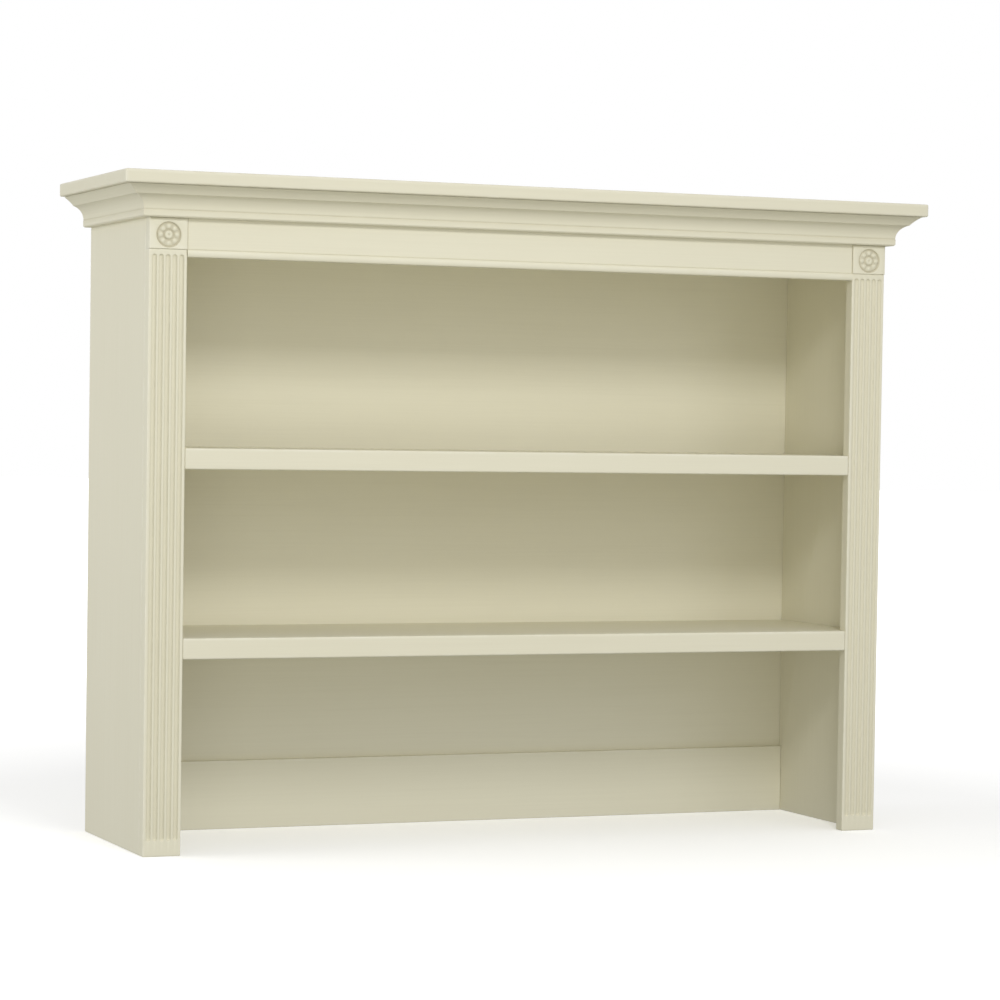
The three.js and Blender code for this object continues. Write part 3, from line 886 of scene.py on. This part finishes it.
def desk_plate(node, screws):
    """A round-ended steel strip with three holes, its edges rolled by the press."""
    low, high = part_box(node)
    radius = (high.x - low.x) / 2
    middle = (low.x + high.x) / 2
    roll = 0.35 * MM
    hole = 2.4 * MM
    countersink = 3.6 * MM
    steps = 16  # round an end

    def ring(y, inset):
        r = radius - inset
        hubs = [Vector((middle, high.z - radius)), Vector((middle, low.z + radius))]
        points = []
        for hub, start in zip(hubs, (0.0, math.pi)):
            for k in range(steps + 1):
                angle = start + math.pi * k / steps
                points.append(Vector((hub.x + r * math.cos(angle), y, hub.y + r * math.sin(angle))))
        return points

    rows = [ring(low.y, roll), ring(low.y + roll, 0), ring(high.y - roll, 0), ring(high.y, roll)]
    places = [sum(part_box(s), Vector()) / 2 for s in screws]
    heights = [places[0].z, (places[0].z + places[1].z) / 2, places[1].z]
    span = [(low.y - roll, hole), (low.y + 0.6 * (high.y - low.y), hole),
            (high.y + roll, countersink)]
    holes = []
    for z in heights:
        rings = [ring_of(r, Vector((middle, y, z)), Vector((0, 1, 0)), 32) for y, r in span]
        holes.append(loft(rings))
    finished(node, without(loft(rows), holes), ZINC, sharp=30)


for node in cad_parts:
    if "dowel" in node:
        dowel(node)
    if "screw" in node:
        pan_screw(node)
    if "corner_block" in node:
        corner_block(node, 1 if "front" in node else -1)
for name in ("left", "right"):
    desk_plate(f"desk_plate_{name}", [f"desk_plate_screw_{name}_{place}" for place in ("lower", "upper")])


# ---- Floor, light and background ----

WHITE = (1.0, 1.0, 1.0)
WARM = (1.0, 0.99, 0.90)  # from below, as off a wooden desk
COOL = (0.97, 0.98, 1.0)  # from the left side, as daylight
FLOOR_GLOW = 0.32  # near the object; further off it rises to 1, as white as the surround
FLOOR_RADIUS = 30
FLOOR_COLOURS = ((0.86, 0.86, 0.85), (0.88, 0.88, 0.87))
AIM = Vector((0, 0, 0.5))  # about the middle of the object
HORIZON = 0.05  # half the width of the change from below to above, as a rise of the ray


def make_floor():
    """A pale floor that takes shadows. It casts no light back, as the surround does that."""
    bm = bmesh.new()
    bmesh.ops.create_circle(bm, cap_ends=True, radius=FLOOR_RADIUS, segments=96)
    mesh = bpy.data.meshes.new("floor")
    bm.to_mesh(mesh)
    bm.free()
    material, tree, shader = new_material("pale_floor")
    haze = stretched_noise(tree, (3.0,) * 3, detail=2)
    colour = blend_colours(tree, remap(tree, haze, 0.3, 0.7, 0, 1), *FLOOR_COLOURS)
    tree.links.new(colour, shader.inputs["Base Color"])
    shader.inputs["Roughness"].default_value = 0.9
    shader.inputs["Emission Color"].default_value = (1, 1, 1, 1)
    place = add_node(tree, "ShaderNodeTexCoord").outputs["Object"]
    reach = add_node(tree, "ShaderNodeVectorMath", {"operation": "LENGTH"}, Vector=place).outputs["Value"]
    tree.links.new(remap(tree, reach, 1.0, 3.5, FLOOR_GLOW, 1.0), shader.inputs["Emission Strength"])
    mesh.materials.append(material)
    floor = bpy.data.objects.new("floor", mesh)
    floor.visible_diffuse = False
    floor.visible_glossy = False
    floor.visible_shadow = False
    bpy.context.scene.collection.objects.link(floor)


def area_light(name, place, size, power, colour):
    """A soft box that looks at the middle of the object."""
    data = bpy.data.lights.new(name, "AREA")
    data.color = colour
    data.shape = "RECTANGLE"
    data.size, data.size_y = size
    data.energy = power
    light = bpy.data.objects.new(name, data)
    light.location = place
    light.rotation_euler = (AIM - Vector(place)).to_track_quat("-Z", "Y").to_euler()
    light.visible_camera = False
    bpy.context.scene.collection.objects.link(light)


def make_world(seen, above, below):
    """A white surround: seen is its brightness behind the object, and above and below are what
    light the object, from the two sides of the horizon. What comes from below is warm."""
    world = bpy.data.worlds.new("studio")
    world.use_nodes = True
    tree = world.node_tree
    background = tree.nodes["Background"]
    direction = add_node(tree, "ShaderNodeTexCoord").outputs["Generated"]
    climb = add_node(tree, "ShaderNodeSeparateXYZ", Vector=direction).outputs["Z"]
    cast = remap(tree, climb, -HORIZON, HORIZON, below, above)
    path = add_node(tree, "ShaderNodeLightPath").outputs["Is Camera Ray"]
    tint = blend_colours(tree, remap(tree, climb, -HORIZON, HORIZON, 0.0, 1.0), WARM, WHITE)
    tree.links.new(blend_colours(tree, path, tint, WHITE), background.inputs["Color"])
    strength = add_node(tree, "ShaderNodeMix", {"data_type": "FLOAT"})
    tree.links.new(path, strength.inputs[0])
    tree.links.new(cast, strength.inputs[2])
    strength.inputs[3].default_value = seen
    tree.links.new(strength.outputs[0], background.inputs["Strength"])
    bpy.context.scene.world = world


make_floor()
make_world(seen=1.0, above=0.57, below=0.38)
LIGHTS = {  # place, size, power and colour
    "key": ((-0.3, -2.45, 2.03), (0.55, 0.5), 23.3, WHITE),
    "low": ((0.0, -2.4, 0.36), (2.5, 0.4), 4.2, WARM),
    "low_left": ((-1.2, -2.2, 0.25), (1.2, 0.4), 5.8, WARM),
    "left": ((-2.6, 0.3, 1.0), (1.2, 1.2), 18.3, COOL),
    "right": ((1.4, -2.6, 1.3), (0.9, 0.9), 4.6, WHITE),
}
for light_name, (spot, extent, watts, colour) in LIGHTS.items():
    area_light(light_name, spot, extent, watts, colour)
bpy.context.scene.view_settings.view_transform = "Standard"
